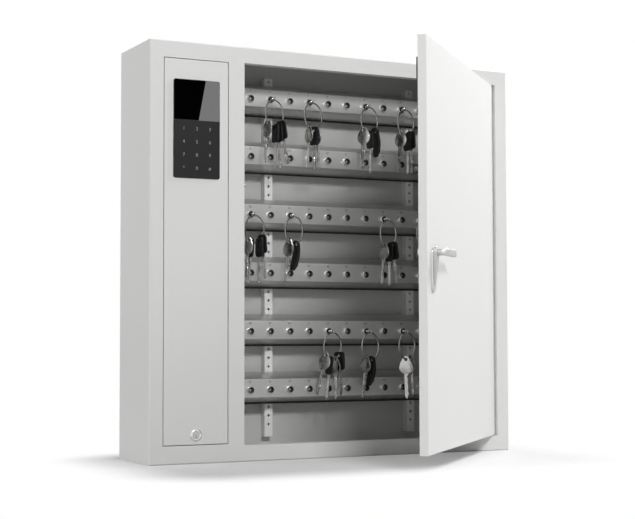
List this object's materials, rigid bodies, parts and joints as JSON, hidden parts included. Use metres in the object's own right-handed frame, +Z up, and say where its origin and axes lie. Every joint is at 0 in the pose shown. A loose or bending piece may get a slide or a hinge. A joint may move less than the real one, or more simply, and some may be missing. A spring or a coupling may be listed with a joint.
{
  "type": "electronic key cabinet",
  "caption": "Wall-hung steel key cabinet with a keypad service panel, a wide lever-handled key door standing open, and rows of key receptacles with hanging bunches of keys.",
  "frame": {"origin": "centre of the back face, midway between the four wall fixing holes", "axes": "+X to the right seen from the front, +Y back into the wall, +Z up"},
  "size_m": [0.72, 0.5085, 0.72],
  "materials": {
    "coat": "fine satin powder coat",
    "steel": "zinc plated",
    "bright_steel": "polished nickel",
    "satin_steel": "satin",
    "black_plastic": "fine grain",
    "gloss_black": "polished",
    "board": "satin",
    "rubber": "matte",
    "brass": "turned",
    "key_metal": "nickel plated"
  },
  "bodies": {
    "cabinet": {"back_panel": "coat", "battery_pack": "black_plastic", "battery_strap": "steel", "board_standoffs": "brass", "cabinet_shell": "coat", "cable_grommet": "rubber", "circuit_board": "board", "door_buffers": "rubber", "door_sensor": "black_plastic", "hinge_bushes": "brass", "hook_collars": "bright_steel", "hook_sockets": "black_plastic", "inner_screws": "steel", "key_bar_1": "coat", "key_bar_2": "coat", "key_bar_3": "coat", "key_bar_4": "coat", "key_bar_5": "coat", "key_bar_6": "coat", "key_door_frame": "coat", "key_pegs": "bright_steel", "key_rail_uprights": "coat", "lock_housing": "steel", "partition_wall": "coat", "rail_screws": "steel", "service_door_frame": "coat"},
    "lock_bolt": {"lock_bolt": "steel"},
    "service_door": {"service_door_panel": "coat", "service_hinge_pins": "steel", "keypad_housing": "black_plastic", "keypad_board": "board", "display_glass": "gloss_black", "key_field": "black_plastic", "cam_lock_barrel": "bright_steel", "cam_lock_nut": "steel"},
    "cam_lock": {"cam_lock_plug": "bright_steel", "cam_lock_cam": "steel", "cam_lock_screw": "steel"},
    "key_door": {"key_door_skin": "coat", "key_door_inner_panel": "coat", "key_door_stiffeners": "steel", "key_door_pins": "steel", "striker": "steel", "sensor_magnet": "black_plastic", "handle_plate": "satin_steel"},
    "handle": {"handle_lever": "satin_steel", "handle_spindle": "steel", "latch_cam": "steel", "latch_screw": "steel"},
    "bunch_01": {"key_bunch_01": "key_metal"},
    "bunch_02": {"key_bunch_02": "key_metal"},
    "bunch_03": {"key_bunch_03": "key_metal"},
    "bunch_04": {"key_bunch_04": "key_metal"},
    "bunch_05": {"key_bunch_05": "key_metal"},
    "bunch_06": {"key_bunch_06": "key_metal"},
    "bunch_07": {"key_bunch_07": "key_metal"},
    "bunch_08": {"key_bunch_08": "key_metal"},
    "bunch_09": {"key_bunch_09": "key_metal"},
    "bunch_10": {"key_bunch_10": "key_metal"},
    "bunch_11": {"key_bunch_11": "key_metal"}
  },
  "joints": [
    {"name": "key_door_hinge", "type": "hinge", "parent": "cabinet", "child": "key_door", "pos_m": [0.3245, -0.1454, 0], "axis": [0, 0, 1], "range_deg": [-45, 65]},
    {"name": "handle_turn", "type": "hinge", "parent": "key_door", "child": "handle", "pos_m": [-0.00763, -0.48403, -0.0115], "axis": [-0.7071, 0.7071, 0], "range_deg": [0, 90]},
    {"name": "service_door_hinge", "type": "hinge", "parent": "cabinet", "child": "service_door", "pos_m": [-0.2758, -0.1454, 0.3208], "axis": [-1, 0, 0], "range_deg": [0, 80]},
    {"name": "cam_lock_turn", "type": "hinge", "parent": "service_door", "child": "cam_lock", "pos_m": [-0.2758, -0.15, -0.3118], "axis": [0, 1, 0], "range_deg": [0, 90]},
    {"name": "lock_bolt_slide", "type": "slide", "parent": "cabinet", "child": "lock_bolt", "axis": [1, 0, 0], "range_m": [0, 0.014]},
    {"name": "bunch_01_swing", "type": "hinge", "parent": "cabinet", "child": "bunch_01", "pos_m": [-0.0946, -0.0775, 0.2853], "axis": [0, 1, 0], "range_deg": [-15, 15]},
    {"name": "bunch_02_swing", "type": "hinge", "parent": "cabinet", "child": "bunch_02", "pos_m": [-0.016, -0.0775, 0.2853], "axis": [0, 1, 0], "range_deg": [-15, 15]},
    {"name": "bunch_03_swing", "type": "hinge", "parent": "cabinet", "child": "bunch_03", "pos_m": [0.1019, -0.0775, 0.2853], "axis": [0, 1, 0], "range_deg": [-15, 15]},
    {"name": "bunch_04_swing", "type": "hinge", "parent": "cabinet", "child": "bunch_04", "pos_m": [0.1805, -0.0775, 0.2853], "axis": [0, 1, 0], "range_deg": [-15, 15]},
    {"name": "bunch_05_swing", "type": "hinge", "parent": "cabinet", "child": "bunch_05", "pos_m": [-0.1339, -0.0775, 0.0741], "axis": [0, 1, 0], "range_deg": [-15, 15]},
    {"name": "bunch_06_swing", "type": "hinge", "parent": "cabinet", "child": "bunch_06", "pos_m": [-0.0553, -0.0775, 0.0741], "axis": [0, 1, 0], "range_deg": [-15, 15]},
    {"name": "bunch_07_swing", "type": "hinge", "parent": "cabinet", "child": "bunch_07", "pos_m": [0.1412, -0.0775, 0.0741], "axis": [0, 1, 0], "range_deg": [-15, 15]},
    {"name": "bunch_08_swing", "type": "hinge", "parent": "cabinet", "child": "bunch_08", "pos_m": [0.2198, -0.0775, 0.0741], "axis": [0, 1, 0], "range_deg": [-15, 15]},
    {"name": "bunch_09_swing", "type": "hinge", "parent": "cabinet", "child": "bunch_09", "pos_m": [0.0233, -0.0775, -0.1371], "axis": [0, 1, 0], "range_deg": [-15, 15]},
    {"name": "bunch_10_swing", "type": "hinge", "parent": "cabinet", "child": "bunch_10", "pos_m": [0.1019, -0.0775, -0.1371], "axis": [0, 1, 0], "range_deg": [-15, 15]},
    {"name": "bunch_11_swing", "type": "hinge", "parent": "cabinet", "child": "bunch_11", "pos_m": [0.1805, -0.0775, -0.1371], "axis": [0, 1, 0], "range_deg": [-15, 15]}
  ]
}
